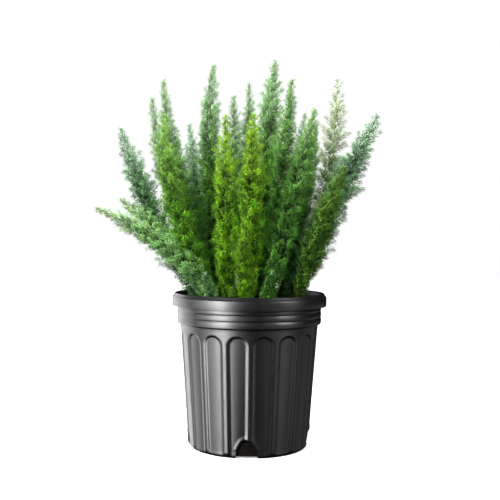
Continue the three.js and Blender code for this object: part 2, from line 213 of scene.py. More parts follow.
for row in SOFT_BOXES:
    add_lamp(*row, mirrored_only=False)
for row in MIRRORED_LAMPS:
    add_lamp(*row, mirrored_only=True)
print("lamps:", len(SOFT_BOXES) + len(MIRRORED_LAMPS))

# %% [markdown]
# The floor is a wide disc of pale paint with a faint glow of its own, which softens the plant's
# shadow. Only the camera sees it, so it throws no light back on the leaves and isn't mirrored in
# the pot. A square one would do as well, but a disc shows no corner in any view.

# %% Floor
FLOOR_RADIUS = 6.0
PALE_PAINT = (0.93, 0.93, 0.93, 1.0)


def new_material(name, **values):
    """A material with one Principled shader, and its even values set on the shader itself."""
    material = bpy.data.materials.new(name)
    material.use_nodes = True
    shader = material.node_tree.nodes["Principled BSDF"]
    for socket, value in values.items():
        shader.inputs[socket.replace("_", " ")].default_value = value
    return material, material.node_tree, shader


bpy.ops.mesh.primitive_circle_add(vertices=96, radius=FLOOR_RADIUS, fill_type="NGON")
floor = bpy.context.active_object
floor.name = "floor"
floor.visible_glossy = False
floor.visible_diffuse = False
paint, *_ = new_material(
    "floor paint",
    Base_Color=PALE_PAINT,
    Roughness=0.9,
    Specular_IOR_Level=0.0,
    Emission_Color=WHITE,
    Emission_Strength=0.3,
)
floor.data.materials.append(paint)
print("the floor is", 2 * FLOOR_RADIUS, "m across")

# %% [markdown]
# ## Shaping by hand, in code
# Every piece starts as a primitive and is shaped in edit mode. An operator works on what is
# selected, and with no mouse the selection is made by a test on where a vertex or an edge lies.
# These helpers do that, and apply modifiers.


# %% Helpers for shaping
def only(piece):
    """Makes one object the only selected one, and the active one."""
    bpy.ops.object.select_all(action="DESELECT")
    piece.select_set(True)
    bpy.context.view_layer.objects.active = piece


def pick(piece, kind, test):
    """In edit mode, selects the vertices, or the edges, that pass a test at every end."""
    bpy.ops.mesh.select_mode(type=kind)
    bpy.ops.mesh.select_all(action="DESELECT")
    shape = bmesh.from_edit_mesh(piece.data)
    for element in shape.verts if kind == "VERT" else shape.edges:
        ends = [element] if kind == "VERT" else element.verts
        if all(test(end.co) for end in ends):
            element.select = True
    shape.select_flush_mode()
    bmesh.update_edit_mesh(piece.data)


def apply_modifier(piece, kind, **settings):
    """Adds a modifier with its settings, and applies it at once."""
    only(piece)
    modifier = piece.modifiers.new(kind.lower(), kind)
    for name, value in settings.items():
        setattr(modifier, name, value)
    bpy.ops.object.modifier_apply(modifier=modifier.name)


def smoothstep(share):
    """Goes from nought to one with no kink at either end."""
    share = np.clip(share, 0.0, 1.0)
    return share * share * (3.0 - 2.0 * share)


# %% [markdown]
# ## The pot
# The real pot is one injection moulding, about 1.5 mm thick, with a fluted body, a beaded collar
# and a hollow skirt under a rounded lip. All of it is round but the flutes and the drain holes,
# so it is drawn as half a section and spun. A section drawn with sharp corners and then bevelled
# gives each edge the small round that catches the light on real plastic.

# %% Section of the pot
POT_HEIGHT = 251
FOOT, COLLAR_FOOT = 4.5, 201.7  # heights of the round under the body and of the step over it
RIM_RADIUS = 127
SAME_PLACE = 0.01  # points closer than this are taken for the same corner

# corners as (radius, height, how far the corner is rounded), from the foot's centre, up the
# outside, over the lip and down the inside
SECTION = [
    (0, 0, 0),
    (76, 0, 0),  # a ring just inside the drain holes, so that these cut only small faces
    (95, 0, 0),
    (99.2, FOOT, 3.2),
    (101.6, 38, 0),
    (110.92, 168, 0),
    (112.85, 195, 0),
    (113.2, 200.6, 0.5),
    (117.5, COLLAR_FOOT, 0.6),
    (118.2, 203.2, 0.6),
    (118.7, 208.0, 1.3),  # crest of the lowest band of the collar
    (117.9, 211.8, 0.4),
    (117.4, 212.7, 0.3),
    (118.0, 213.6, 0.4),
    (118.7, 216.2, 1.3),
    (117.9, 221.5, 0.4),
    (117.4, 222.4, 0.3),
    (118.1, 223.3, 0.4),
    (118.7, 225.4, 1.0),
    (118.2, 229.5, 0.5),
    (119, 242.5, 0.8),  # roof of the hollow behind the skirt
    (124.6, 242.5, 0.8),
    (124.8, 230.5, 0.5),
    (RIM_RADIUS, 230.5, 0.6),
    (RIM_RADIUS, 245.0, 0.8),
    (124.8, 247.3, 0.3),
    (123.2, 250.2, 0.5),
    (122.4, POT_HEIGHT, 0.4),
    (120.8, POT_HEIGHT, 0.5),
    (118.6, 249.4, 0.9),
    (117.9, 246, 1.5),
    (115, 206, 2.0),
    (107.9, 197, 2.0),
    (93.8, 4, 0.6),
    (76, 4, 0),
    (0, 4, 0),
]


def draw_section(name, corners):
    """A line of corners, drawn by extruding one point from each corner to the next."""
    first = Vector((corners[0][0], 0, corners[0][1])) * MM
    bpy.ops.mesh.primitive_plane_add(size=MM, location=first)
    piece = bpy.context.active_object
    piece.name = name
    bpy.ops.object.transform_apply(location=True, rotation=True, scale=True)
    bpy.ops.object.mode_set(mode="EDIT")
    bpy.ops.mesh.merge(type="CENTER")
    for here, there in zip(corners, corners[1:]):
        step = Vector((there[0] - here[0], 0, there[1] - here[1])) * MM
        bpy.ops.mesh.extrude_region_move(TRANSFORM_OT_translate={"value": step})
    return piece


def round_corners(piece, corners):
    """Bevels each corner that has a round, all those with the same round together."""
    for size in sorted({size for *_, size in corners if size}):
        places = [Vector((r, 0, z)) * MM for r, z, rounding in corners if rounding == size]
        pick(piece, "VERT", lambda co: min((co - p).length for p in places) < SAME_PLACE * MM)
        bpy.ops.mesh.bevel(offset=size * MM, segments=2, affect="VERTICES")


pot = draw_section("fine_pot", SECTION)
round_corners(pot, SECTION)
print("the section has", len(bmesh.from_edit_mesh(pot.data).verts), "points")

# %% [markdown]
# Before the spin, the stretches of wall where the drain holes and the arched heads of the flutes
# will be are subdivided, because only a wall with enough rows can follow a curve.

# %% Spin the section
SPIN_STEPS = 340  # 20 to each of the 17 flutes
ROWS = [((7.6, 38), 18), ((38, 168), 4), ((168, 195), 20)]  # heights, and cuts between them
OUTER_WALL = 97.5  # in those rows, all that stands further out is the outer wall
WELD = 0.001  # points closer than this become one
PLAY = 0.1  # allowance where a height is tested


def on_outer_wall(co, low, high):
    return low - PLAY < co.z / MM < high + PLAY and co.x / MM > OUTER_WALL


def spin_closed(steps):
    """Spins the section in edit mode all the way round, and welds it where it meets itself."""
    bpy.ops.mesh.select_all(action="SELECT")
    bpy.ops.mesh.spin(steps=steps, angle=2 * math.pi, center=(0, 0, 0), axis=(0, 0, 1))
    bpy.ops.mesh.select_all(action="SELECT")
    bpy.ops.mesh.remove_doubles(threshold=WELD * MM)
    bpy.ops.mesh.normals_make_consistent(inside=False)
    bpy.ops.object.mode_set(mode="OBJECT")


for (low, high), cuts in ROWS:
    pick(pot, "EDGE", lambda co: on_outer_wall(co, low, high))
    bpy.ops.mesh.subdivide(number_cuts=cuts)
spin_closed(SPIN_STEPS)
print("the spun pot has", len(pot.data.polygons), "faces")

# %% [markdown]
# ## Flutes
# Each flute is a shallow trough with an arched head, pressed a little way into the wall. Cutting it
# out would leave hard edges to be rounded afterwards. Here the wall is pushed inwards by a Displace
# modifier that works through a vertex group: a weight of one is the floor of a flute, nought is a
# rib, and the slope between them is the soft side that the mould leaves.

# %% Press the flutes
FLUTE_COUNT = 17
FLUTE_HALF = math.radians(8.9)  # from the middle of a flute to its edge
FLUTE_TURN = math.radians(-88.7)  # bearing of the rib at the front
FLUTE_SPRING, FLUTE_HEAD = 174.5, 16.5  # where the arched head begins, and how high it is
FLUTE_FOOT = (1, 8)  # heights over which the trough runs out
FLUTE_DEPTH = 2.3
FLUTE_SLOPE = 4.2  # width of its soft side
LEAST_WEIGHT = 0.001  # a point that weighs less stays where it is


def point_array(piece):
    """The points of a piece, one to a row."""
    points = np.empty(len(piece.data.vertices) * 3)
    piece.data.vertices.foreach_get("co", points)
    return points.reshape(-1, 3)


def outer_wall(points):
    """True for the points of the body's outer wall, below the collar."""
    radius = np.hypot(points[:, 0], points[:, 1]) / MM
    return (points[:, 2] / MM < COLLAR_FOOT - 1.5) & (radius > OUTER_WALL)


def flute_weight(points):
    """One on the floor of each flute, nought on the ribs, and the soft slope between them."""
    radius = np.hypot(points[:, 0], points[:, 1]) / MM
    height = points[:, 2] / MM
    bay = 2 * math.pi / FLUTE_COUNT
    bearing = np.arctan2(points[:, 1], points[:, 0]) - FLUTE_TURN
    from_middle = np.abs((bearing % bay) - bay / 2)
    across = from_middle / FLUTE_HALF
    up = np.clip((height - FLUTE_SPRING) / FLUTE_HEAD, 0, None)
    inside = (1 - np.hypot(across, up)) * FLUTE_HALF * radius
    runs_out = smoothstep((height - FLUTE_FOOT[0]) / (FLUTE_FOOT[1] - FLUTE_FOOT[0]))
    return smoothstep(inside / FLUTE_SLOPE) * runs_out * outer_wall(points)


def displace_by(piece, name, weights, distance, mid_level=0.0, **settings):
    """Moves the surface by a distance, in proportion to each point's weight."""
    group = piece.vertex_groups.new(name=name)
    for index in np.nonzero(weights > LEAST_WEIGHT)[0]:
        group.add([int(index)], float(weights[index]), "REPLACE")
    settings |= {"vertex_group": name, "strength": distance * MM, "mid_level": mid_level}
    apply_modifier(piece, "DISPLACE", **settings)
    piece.vertex_groups.clear()


displace_by(pot, "flutes", flute_weight(point_array(pot)), -FLUTE_DEPTH)
print("flutes pressed:", FLUTE_COUNT)

# %% [markdown]
# ## Drain holes
# Four arched holes notch the foot of the wall. Each has a thin raised border, which stiffens the
# edge of the real hole. The border is pushed out in the same way as the flutes, and then a Boolean
# cuts the hole with an arch: a cylinder lying along the radius, whose lower half is pulled down.

# %% Cut the drain holes
DRAIN_COUNT, DRAIN_TURN = 4, -91.5  # how many, and the bearing of the first
DRAIN_HALF, DRAIN_HEIGHT = 17, 30
DRAIN_INNER = 82  # how far in the cut goes
BORDER_WIDTH, BORDER_RISE = 3.2, 0.9
CUTTER_DEPTH, CUTTER_DROP = 30, 5  # its length, and how far its lower half is pulled down


def drain_bearings():
    return [math.radians(DRAIN_TURN + 360 / DRAIN_COUNT * i) for i in range(DRAIN_COUNT)]


def border_weight(points):
    """One on a narrow band round each drain hole, falling away to nothing on both sides."""
    weight = np.zeros(len(points))
    height = points[:, 2] / MM
    for bearing in drain_bearings():
        across = (-points[:, 0] * math.sin(bearing) + points[:, 1] * math.cos(bearing)) / MM
        ahead = (points[:, 0] * math.cos(bearing) + points[:, 1] * math.sin(bearing)) > 0
        size = np.hypot(across / DRAIN_HALF, height / DRAIN_HEIGHT)
        outside = (size - 1) * DRAIN_HALF
        band = smoothstep(1 - np.abs(outside - BORDER_WIDTH / 3) / BORDER_WIDTH)
        weight = np.maximum(weight, band * ahead)
    return weight * outer_wall(points) * (height > 0.5)


def drain_cutter(bearing):
    """The arch that is cut out of the wall at a bearing."""
    bpy.ops.mesh.primitive_cylinder_add(
        vertices=64, radius=1, depth=CUTTER_DEPTH * MM, rotation=(math.pi / 2, 0, 0)
    )
    cutter = bpy.context.active_object
    cutter.scale = (DRAIN_HALF * MM, DRAIN_HEIGHT * MM, 1)
    bpy.ops.object.transform_apply(location=False, rotation=True, scale=True)
    bpy.ops.object.mode_set(mode="EDIT")
    bpy.ops.mesh.select_all(action="SELECT")
    bpy.ops.transform.translate(value=(0, -(DRAIN_INNER + CUTTER_DEPTH / 2) * MM, 0))
    pick(cutter, "VERT", lambda co: co.z < -WELD * MM)
    bpy.ops.transform.translate(value=(0, 0, -CUTTER_DROP * MM))
    bpy.ops.object.mode_set(mode="OBJECT")
    cutter.data.transform(Matrix.Rotation(bearing + math.pi / 2, 4, "Z"))
    return cutter


displace_by(pot, "drain borders", border_weight(point_array(pot)), BORDER_RISE)
for bearing in drain_bearings():
    cutter = drain_cutter(bearing)
    apply_modifier(pot, "BOOLEAN", object=cutter, operation="DIFFERENCE", solver="EXACT")
    bpy.data.objects.remove(cutter)
bpy.ops.object.shade_smooth_by_angle(angle=math.radians(38))
print("the pot has", len(pot.data.polygons), "faces after", DRAIN_COUNT, "drain holes")
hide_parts("pot")
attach(pot, "root")

# %% [markdown]
# ## Settled dust
# Anything that stands in a nursery gets a film of fine dust on what faces up, thicker in patches.
# The pot and the potting mix both need it, so it is a node group with its own inputs: one mask from
# the way the surface faces, broken up by noise, mixes the dust's colour over the colour below.


# %% Node group: settled dust
def new_group(name, takes, gives):
    """A node group with its sockets, each given as its name and kind."""
    group = bpy.data.node_groups.new(name, "ShaderNodeTree")
    for direction, sockets in (("INPUT", takes), ("OUTPUT", gives)):
        for title, kind in sockets:
            group.interface.new_socket(
                name=title, in_out=direction, socket_type="NodeSocket" + kind
            )
    return group, group.nodes.new("NodeGroupInput"), group.nodes.new("NodeGroupOutput")


dust_group, given, result = new_group(
    "settled dust",
    [("Color", "Color"), ("Dust", "Color"), ("Amount", "Float"), ("Patch Size", "Float")],
    [("Color", "Color")],
)
place = add_node(dust_group, "TexCoord")
facing = add_node(dust_group, "NewGeometry")
facing_parts = add_node(dust_group, "SeparateXYZ")
facing_up = add_range(dust_group, 0.1, 1.0, 0.08, 1.0)
patches = add_node(dust_group, "TexNoise", {"Detail": 5.0, "Roughness": 0.65})
patch_edge = add_range(dust_group, 0.42, 0.68)
share = add_product(dust_group)
share_of_amount = add_product(dust_group)
lay_dust = add_mix(dust_group)
join(
    dust_group,
    (place, "Object", patches, "Vector"),
    (given, "Patch Size", patches, "Scale"),
    (patches, "Fac", patch_edge, "Value"),
    (facing, "Normal", facing_parts, 0),
    (facing_parts, "Z", facing_up, "Value"),
    (facing_up, 0, share, 0),
    (patch_edge, 0, share, 1),
    (share, 0, share_of_amount, 0),
    (given, "Amount", share_of_amount, 1),
    (share_of_amount, 0, lay_dust, "Factor"),
    (given, "Color", lay_dust, "A"),
    (given, "Dust", lay_dust, "B"),
    (lay_dust, "Result", result, "Color"),
)
print("settled dust takes", [socket.name for socket in given.outputs if socket.name])

# %% [markdown]
# ## Black pot plastic
# The pot is black polypropylene with a satin face from the mould. Its colour is almost nothing, so
# the finish lives in its roughness: cloudy patches, and fine upright scuffs where pots were pulled
# out of a stack. The scuffs are noise stretched tall by a Mapping node. Noise, dust and a fine
# bump come back in the other materials, so each has a helper.


# %% Material: black plastic
def add_noise(tree, scale, detail, stretch=None):
    """Noise over the piece's own coordinates, or over those scaled by a stretch."""
    place = add_node(tree, "TexCoord")
    noise = add_node(tree, "TexNoise", {"Scale": scale, "Detail": detail})
    if stretch is None:
        join(tree, (place, "Object", noise, "Vector"))
    else:
        mapping = add_node(tree, "Mapping", {"Scale": stretch})
        join(tree, (place, "Object", mapping, "Vector"), (mapping, 0, noise, "Vector"))
    return noise


def add_dust(tree, shader, colour, dust, amount, patch_size):
    """Lays dust over a colour, given as a node and its output, and hands it to the shader."""
    values = {"Dust": dust, "Amount": amount, "Patch Size": patch_size}
    settled = add_node(tree, "Group", values, node_tree=dust_group)
    join(tree, (*colour, settled, "Color"), (settled, "Color", shader, "Base Color"))


def add_bump(tree, shader, noise, strength, distance):
    """A relief that only the light shows, raised and lowered by a noise."""
    bump = add_node(tree, "Bump", {"Strength": strength, "Distance": distance})
    join(tree, (noise, "Fac", bump, "Height"), (bump, "Normal", shader, "Normal"))


plastic, tree, shader = new_material("black pot plastic", IOR=1.5)
clouds = add_noise(tree, 55.0, 4.0)
scuffs = add_noise(tree, 1.0, 3.0, stretch=(900.0, 900.0, 14.0))
haze = add_node(tree, "Mix", {"Factor": 0.45}, data_type="FLOAT")
satin = add_range(tree, 0.3, 0.7, 0.30, 0.44)
black = add_mix(tree, A=(0.0015, 0.0015, 0.002, 1), B=(0.0035, 0.0035, 0.004, 1))
join(
    tree,
    (clouds, "Fac", haze, "A"),
    (scuffs, "Fac", haze, "B"),
    (haze, 0, satin, "Value"),
    (satin, 0, shader, "Roughness"),
    (clouds, "Fac", black, "Factor"),
)
add_dust(tree, shader, (black, "Result"), (0.16, 0.15, 0.14, 1), 0.02, 26.0)
add_bump(tree, shader, add_noise(tree, 1500.0, 2.0), 0.05, 0.0002)
pot.data.materials.append(plastic)
print("pot material:", plastic.name)

# %% [markdown]
# ## Potting mix
# The pot is filled to two fingers below its lip with dark peat and bark. Only its top is seen,
# and a sliver of its side through the drain holes, but it is a whole plug. It is spun like the
# pot, and its top is given many rings. Clouds then push those up and down into crumbs.

# %% Plug of potting mix
SOIL_LEVEL, SOIL_RELIEF = 221, 2.2
SOIL_RADIUS = 115.6  # at its top
SOIL_SPIN, SOIL_RINGS = 180, 58
WALL_MARGIN = 8  # width beside the wall over which the relief fades out
CRUMB_SIZE, CRUMB_HEIGHT = 7, 5.5
SOIL_SECTION = [
    (0, 4.4, 0),
    (93.4, 4.4, 0),
    (107.4, 196.6, 0),
    (114.3, 206, 0),
    (SOIL_RADIUS, SOIL_LEVEL, 0),
    (0, SOIL_LEVEL, 0),
]


def soil_swell(x, y):
    """How far the surface of the mix stands over its level, in millimetres."""
    return SOIL_RELIEF * (
        np.sin(x / 17 + 0.6) * np.cos(y / 21) + 0.6 * np.sin((x - y) / 11 + 1.9)
    )


soil = draw_section("fine_soil", SOIL_SECTION)
pick(soil, "EDGE", lambda co: co.z / MM > SOIL_LEVEL - PLAY)
bpy.ops.mesh.subdivide(number_cuts=SOIL_RINGS)
spin_closed(SOIL_SPIN)

points = point_array(soil)
from_wall = SOIL_RADIUS - np.hypot(points[:, 0], points[:, 1]) / MM
on_top = (points[:, 2] / MM > SOIL_LEVEL - PLAY) * smoothstep(from_wall / WALL_MARGIN)
points[:, 2] += on_top * soil_swell(points[:, 0] / MM, points[:, 1] / MM) * MM
soil.data.vertices.foreach_set("co", points.ravel())
crumbs = bpy.data.textures.new("crumbs", "CLOUDS")
crumbs.noise_scale = CRUMB_SIZE * MM
crumbs.noise_depth = 4
displace_by(
    soil, "top", on_top, CRUMB_HEIGHT, 0.5, texture=crumbs, texture_coords="LOCAL", direction="Z"
)
bpy.ops.object.shade_smooth_by_angle(angle=math.radians(50))
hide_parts("soil")
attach(soil, "root")
print("the mix has", len(soil.data.polygons), "faces")

# %% [markdown]
# ## Many copies of a small shape
# Bark chips and needles are each modelled once and then set down hundreds or thousands of times.
# An object for each would bury the scene, and instances would be lost when the model is exported.
# So a copy here is the small shape's own corners, turned, scaled and moved with one matrix per
# copy, and all the copies of a plume or of the mix go into one mesh.


# %% Helpers for copies
def triangles_of(piece):
    """The corners and triangles of a small model, which is then removed."""
    only(piece)
    bpy.ops.object.mode_set(mode="EDIT")
    bpy.ops.mesh.select_all(action="SELECT")
    bpy.ops.mesh.quads_convert_to_tris()
    bpy.ops.object.mode_set(mode="OBJECT")
    corners = point_array(piece)
    faces = np.array([list(polygon.vertices) for polygon in piece.data.polygons])
    bpy.data.objects.remove(piece)
    return corners, faces


def turned_to(axes, rolls):
    """One turn for each copy: its Z lies along an axis, and it is rolled about that axis."""
    aside = np.where(np.abs(axes[:, :1]) < 0.8, [[1.0, 0.0, 0.0]], [[0.0, 1.0, 0.0]])
    across = np.cross(axes, aside)
    across /= np.linalg.norm(across, axis=1, keepdims=True)
    third = np.cross(axes, across)
    cosine, sine = np.cos(rolls)[:, None], np.sin(rolls)[:, None]
    return np.stack([cosine * across + sine * third, cosine * third - sine * across, axes], axis=2)


def set_down(shape, turns, sizes, places):
    """Copies of a shape's corners and triangles, in two long arrays."""
    corners, faces = shape
    moved = np.einsum("kij,vj->kvi", turns * sizes[:, None, None], corners) + places[:, None, :]
    numbered = faces[None] + (np.arange(len(places)) * len(corners))[:, None, None]
    return moved.reshape(-1, 3), numbered.reshape(-1, 3)


def mesh_from(name, batches):
    """One object from batches of copies, each given as points, triangles and marks on points."""
    points, faces, marks = zip(*batches)
    starts = np.cumsum([0, *map(len, points)])
    points = np.concatenate(points)
    faces = np.concatenate([batch + start for batch, start in zip(faces, starts)])
    mesh = bpy.data.meshes.new(name)
    mesh.vertices.add(len(points))
    mesh.vertices.foreach_set("co", points.ravel())
    mesh.loops.add(faces.size)
    mesh.loops.foreach_set("vertex_index", faces.ravel())
    mesh.polygons.add(len(faces))
    mesh.polygons.foreach_set("loop_start", np.arange(0, faces.size, 3))
    for title in marks[0]:
        values = np.concatenate([batch[title] for batch in marks])
        mesh.attributes.new(title, "FLOAT", "POINT").data.foreach_set("value", values)
    mesh.update(calc_edges=True)
    piece = bpy.data.objects.new(name, mesh)
    bpy.context.collection.objects.link(piece)
    return piece


# %% [markdown]
# ## Bark chips
# Composted bark gives the mix its coarse look: flat, splintered flakes a few millimetres long,
# at all angles, and small pale grains among them. A chip is a cube, squashed to a flake, with one
# end drawn in and twisted. Three shapes of chip are enough, because each copy is turned and sized
# by chance.

# %% Bark chips
CHIP_COUNT = 900
CHIP_SEED = 7
CHIP_SHAPES = [  # length, width and thickness, how far one end is drawn in, and its twist
    ((4.4, 2.3, 1.0), 0.45, 25),
    ((3.0, 1.6, 1.1), 0.6, -40),
    ((6.2, 1.5, 0.8), 0.3, 15),
]
CHIP_THINNED = 0.7  # thickness left at the drawn-in end
CHIP_SPLINTER = (-0.2, 0, 0.15)  # how one side of the other end is pulled, in shares of its size
CHIP_REACH = 111  # radius within which chips lie
CHIP_LIFT = (-0.6, 1.8)  # heights from the surface of the mix
CHIP_LEAN = 0.35  # how far out of level they lie, as a slope
CHIP_SIZES = (0.5, 1.35)


def bark_chip(size, taper, twist):
    """The corners and triangles of one shape of chip."""
    bpy.ops.mesh.primitive_cube_add(size=1)
    chip = bpy.context.active_object
    bpy.ops.object.mode_set(mode="EDIT")
    pick(chip, "VERT", lambda co: co.x > 0)
    bpy.ops.transform.resize(value=(1, taper, CHIP_THINNED), center_override=(0.5, 0, 0))
    bpy.ops.transform.rotate(
        value=math.radians(twist), orient_axis="X", center_override=(0.5, 0, 0)
    )
    pick(chip, "VERT", lambda co: co.x < 0 and co.y > 0)
    bpy.ops.transform.translate(value=CHIP_SPLINTER)
    bpy.ops.mesh.select_all(action="SELECT")
    bpy.ops.transform.resize(value=[side * MM for side in size], center_override=(0, 0, 0))
    bpy.ops.object.mode_set(mode="OBJECT")
    return triangles_of(chip)


def scatter_chips(count):
    """Batches of chips, one for each shape, lying on the mix."""
    chance = np.random.default_rng(CHIP_SEED)
    radius = CHIP_REACH * np.sqrt(chance.random(count))
    bearing = chance.uniform(0, 2 * math.pi, count)
    x, y = radius * np.cos(bearing), radius * np.sin(bearing)
    height = SOIL_LEVEL + soil_swell(x, y) + chance.uniform(*CHIP_LIFT, count)
    places = np.stack([x, y, height], axis=1) * MM
    lean = chance.normal(0, CHIP_LEAN, (count, 2))
    up = np.concatenate([lean, np.ones((count, 1))], axis=1)
    up /= np.linalg.norm(up, axis=1, keepdims=True)
    turns = turned_to(up, chance.uniform(0, 2 * math.pi, count))
    sizes = chance.uniform(*CHIP_SIZES, count)
    shades = chance.random(count)
    batches = []
    for number, shape in enumerate(CHIP_SHAPES):
        mine = slice(number, None, len(CHIP_SHAPES))
        chip = bark_chip(*shape)
        copies = set_down(chip, turns[mine], sizes[mine], places[mine])
        batches.append((*copies, {"shade": np.repeat(shades[mine], len(chip[0]))}))
    return batches


chips = mesh_from("bark_chips", scatter_chips(CHIP_COUNT))
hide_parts("soil")
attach(chips, "root")
print(CHIP_COUNT, "chips,", len(chips.data.polygons), "faces")

# %% [markdown]
# ## Materials of the mix
# Damp peat is dark, and here its colour is nearly black, darker than real peat, as painted shade
# that keeps the mix seen through the drain holes black. Bark runs from black to a dull red brown.
# Both get the settled dust, and both are very rough. A chip's own shade comes from a value marked
# on its points.

# %% Materials: peat and bark
peat, tree, shader = new_material("dark peat with painted shade", Roughness=0.95, Specular_IOR_Level=0.1)
mottle = add_noise(tree, 260.0, 5.0)
# painted shade: both colours are far darker than real damp peat
brown = add_mix(tree, A=(0.0012, 0.001, 0.0008, 1), B=(0.004, 0.003, 0.002, 1))
join(tree, (mottle, "Fac", brown, "Factor"))
add_dust(tree, shader, (brown, "Result"), (0.06, 0.045, 0.03, 1), 0.12, 60.0)
add_bump(tree, shader, mottle, 0.6, 0.001)
soil.data.materials.append(peat)

bark, tree, shader = new_material("composted bark", Roughness=0.9, Specular_IOR_Level=0.15)
shade = add_node(tree, "Attribute", attribute_name="shade")
browns = add_node(tree, "ValToRGB")
browns.color_ramp.elements[0].color = (0.010, 0.006, 0.004, 1)
browns.color_ramp.elements[1].color = (0.16, 0.12, 0.085, 1)
for where, colour in ((0.45, (0.022, 0.013, 0.008, 1)), (0.92, (0.055, 0.034, 0.021, 1))):
    browns.color_ramp.elements.new(where).color = colour
join(tree, (shade, "Fac", browns, "Fac"))
add_dust(tree, shader, (browns, "Color"), (0.14, 0.11, 0.08, 1), 0.2, 90.0)
add_bump(tree, shader, add_noise(tree, 900.0, 4.0), 0.5, 0.0005)
chips.data.materials.append(bark)
print("mix materials:", peat.name, "and", bark.name)

# %% [markdown]
# ## One needle
# What look like needles are the fern's fine leaf-like stems: stiff, flat, pointed at both ends and
# under a centimetre long. Seen from a step away each is a bright dash. Four triangles make a closed
# one: a three-sided cone whose two side corners are slid up to its middle, so that it is widest
# there, and whose third corner is brought in to the root.

# %% Needle
NEEDLE_LENGTH, NEEDLE_RADIUS = 8.0, 0.95
WIDEST = 0.45  # how far up the needle it is widest

bpy.ops.mesh.primitive_cone_add(
    vertices=3,
    radius1=NEEDLE_RADIUS * MM,
    radius2=0,
    depth=NEEDLE_LENGTH * MM,
    location=(0, 0, NEEDLE_LENGTH / 2 * MM),
)
needle = bpy.context.active_object
bpy.ops.object.transform_apply(location=True, rotation=True, scale=True)
bpy.ops.object.mode_set(mode="EDIT")
pick(needle, "VERT", lambda co: co.z < PLAY * MM and co.y < 0)
bpy.ops.transform.translate(value=(0, 0, WIDEST * NEEDLE_LENGTH * MM))
pick(needle, "VERT", lambda co: co.z < PLAY * MM)
bpy.ops.transform.translate(value=(0, -NEEDLE_RADIUS * MM, 0))
bpy.ops.object.mode_set(mode="OBJECT")
print("a needle has", len(needle.data.polygons), "faces")

# %% [markdown]
# ## Rings of needles
# Needles grow in rings along a side shoot, about six to a ring, each leaning out and a little
# forward. A ring is six copies of the needle joined to a splinter of twig, which fills the step
# back to the ring before it. A few rings with different leans keep the repeats from showing, and
# one with its needles held close ends each stem as a bud.

# %% Rings
TWIG_RADIUS, TWIG_LENGTH = 0.5, 5
TWIG_BACK = 1.5  # how far the twig's middle lies behind the ring


def ring_of_needles(leans, length=1.0):
    """Needles leaning by some degrees from the twig, evenly round it, and the twig itself."""
    bpy.ops.mesh.primitive_cone_add(
        vertices=3,
        radius1=TWIG_RADIUS * MM,
        radius2=0,
        depth=TWIG_LENGTH * MM,
        rotation=(math.pi, 0, 0),
    )
    twig = bpy.context.active_object
    bpy.ops.object.transform_apply(location=True, rotation=True, scale=True)
    twig.data.transform(Matrix.Translation((0, 0, -TWIG_BACK * MM)))
    blades = []
    for number, lean in enumerate(leans):
        blade = needle.copy()
        blade.data = needle.data.copy()
        bpy.context.collection.objects.link(blade)
        turn = Matrix.Rotation(2 * math.pi * number / len(leans), 4, "Z")
        tip_over = Matrix.Rotation(math.radians(lean), 4, "X")
        blade.data.transform(turn @ tip_over @ Matrix.Scale(length, 4))
        blades.append(blade)
    only(twig)
    for blade in blades:
        blade.select_set(True)
    bpy.ops.object.join()
    return triangles_of(twig)


RINGS = [
    ring_of_needles((50, 62, 47, 58, 66, 54)),
    ring_of_needles((64, 48, 56, 45, 60, 52)),
    ring_of_needles((55, 44, 68, 52, 58, 42)),
]
BUD = ring_of_needles((24, 32, 20, 28, 34), length=0.9)
bpy.data.objects.remove(needle)
print("a ring has", len(RINGS[0][1]), "faces")

# %% [markdown]
# ## Where the plumes stand
# Twenty-nine plumes rise from one crown and fan out, each in its own plane, and seven young shoots
# fill the gaps near the soil. A plume needs only five facts: where it leaves the soil, where its
# tip is, how far its middle bows outwards, how wide its spray is, and its leaf colour. A drawn
# curve for each would say the same in far more numbers.

# %% Plumes and young shoots
# foot, tip, bow, girth and leaf colour, in millimetres
PLUMES = [
    ((-50, -44), (-242, -70, 386), -41, 19, "fresh"),
    ((-60, -16), (-212, -22, 402), -20, 20, "fresh"),
    ((-66, 10), (-217, 15, 521), 17, 24, "blue"),
    ((-62, 36), (-171, 55, 580), 18, 16, "leaf"),
    ((-42, -28), (-137, -60, 533), 26, 19, "spring"),
    ((-50, -4), (-145, 0, 598), 18, 18, "leaf"),
    ((-36, 52), (-115, 165, 549), 10, 18, "blue"),
    ((-42, 18), (-64, 15, 628), 14, 20, "leaf"),
    ((-24, 36), (-84, 95, 546), 6, 22, "blue"),
    ((-12, -68), (-8, -126, 362), 2, 15, "lime"),
    ((-35, -42), (-40, -92, 528), 6, 20, "lime"),
    ((-14, 6), (-30, 20, 578), 0, 19, "leaf"),
    ((-4, 42), (-4, 95, 613), 2, 17, "leaf"),
    ((-3, -46), (4, -115, 527), -2, 21, "lime"),
    ((4, -10), (40, 35, 641), -2, 23, "leaf"),
    ((20, 24), (33, 120, 630), 6, 16, "leaf"),
    ((28, -26), (65, -25, 597), 2, 20, "forest"),
    ((24, -56), (100, -65, 543), 0, 22, "forest"),
    ((22, 60), (100, 170, 573), 6, 14, "blue"),
    ((46, 6), (103, 40, 516), 8, 18, "forest"),
    ((56, 28), (149, 65, 616), 24, 25, "pale"),
    ((46, 52), (118, 130, 548), 10, 20, "forest"),
    ((68, -44), (142, -102, 450), 0, 21, "olive"),
    ((54, -12), (209, 0, 545), 0, 26, "blue"),
    ((-20, 66), (-122, 188, 515), 14, 20, "blue"),
    ((2, 74), (-18, 216, 500), 14, 18, "leaf"),
    ((16, 72), (44, 190, 560), 8, 20, "leaf"),
    ((62, 46), (164, 146, 480), 10, 19, "blue"),
    ((-44, 56), (-134, 128, 520), 14, 20, "leaf"),
]
